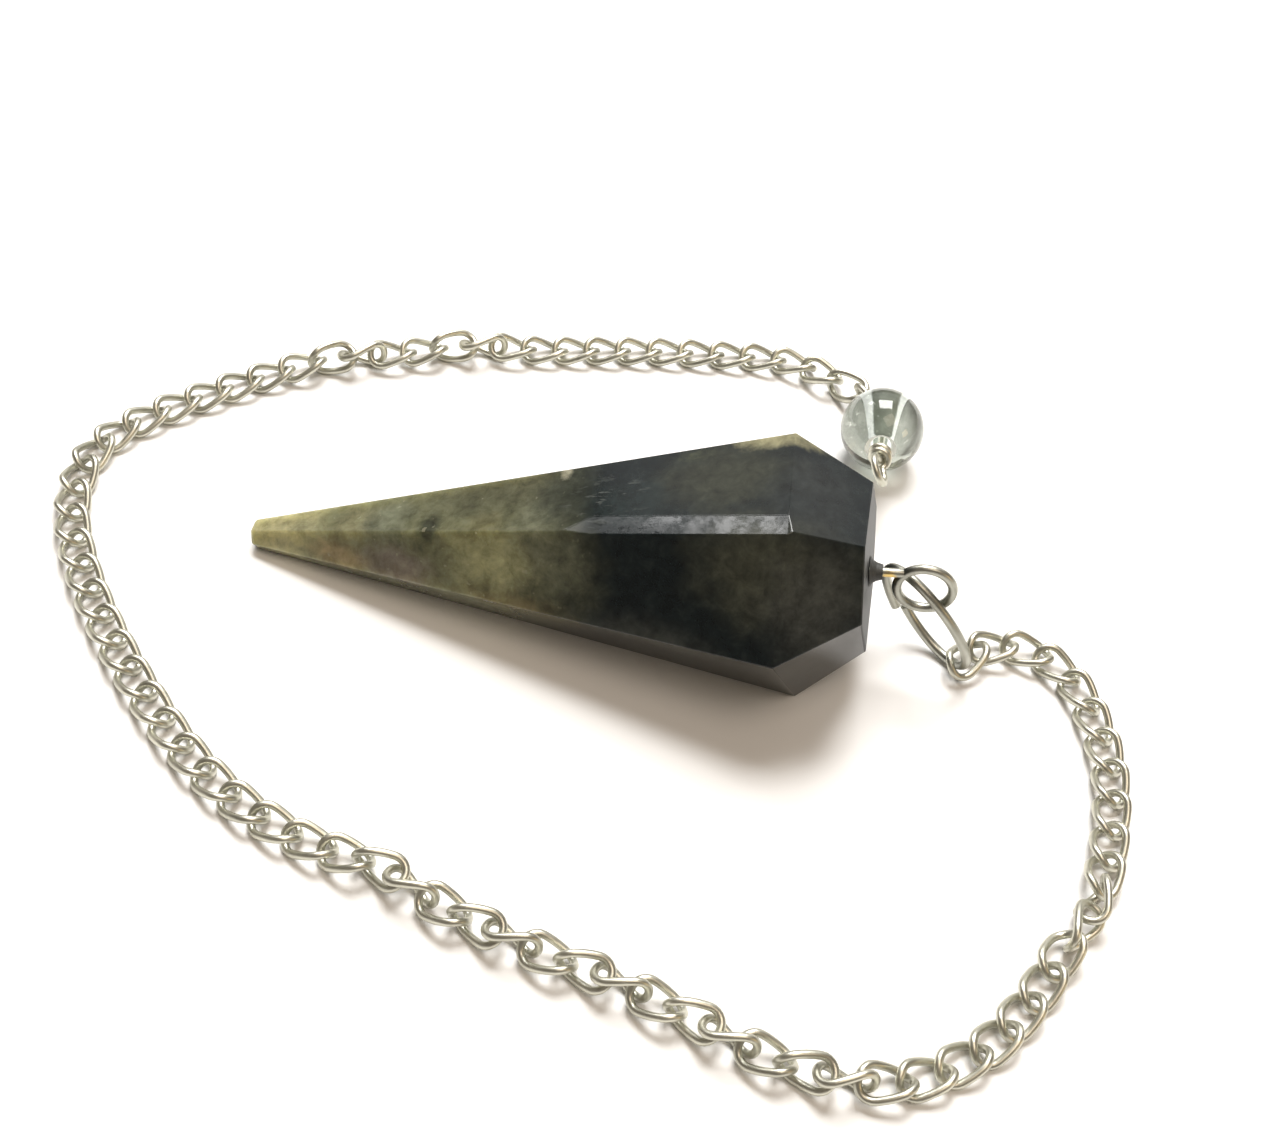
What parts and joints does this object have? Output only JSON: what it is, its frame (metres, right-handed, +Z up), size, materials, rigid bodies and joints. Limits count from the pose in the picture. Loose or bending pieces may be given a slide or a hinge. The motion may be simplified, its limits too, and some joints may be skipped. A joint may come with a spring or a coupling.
{
  "type": "pendulum pendant",
  "caption": "Dowsing pendulum: a long six-sided stone point with a short faceted crown and a drilled pin, hung by an oval ring from a fine curb chain that ends in a clear bead.",
  "frame": {"origin": "on the surface that it lies on, under the middle of the stone's resting facet", "axes": "+Z up from the surface, +X along the stone from its tip to its crown, +Y towards the bead"},
  "size_m": [0.0731, 0.0603, 0.0148],
  "materials": {
    "stone": "polished, translucent at the edges",
    "cement": "dark cement",
    "findings": "silver plated, polished",
    "chain": "silver plated, polished",
    "bead": "clear with a ground bore"
  },
  "bodies": {
    "root": {"crystal_point": "stone", "pin_collar": "cement", "eye_pin": "findings", "jump_ring": "findings", "chain": "chain", "bead": "bead", "bead_wire": "findings"}
  },
  "joints": []
}
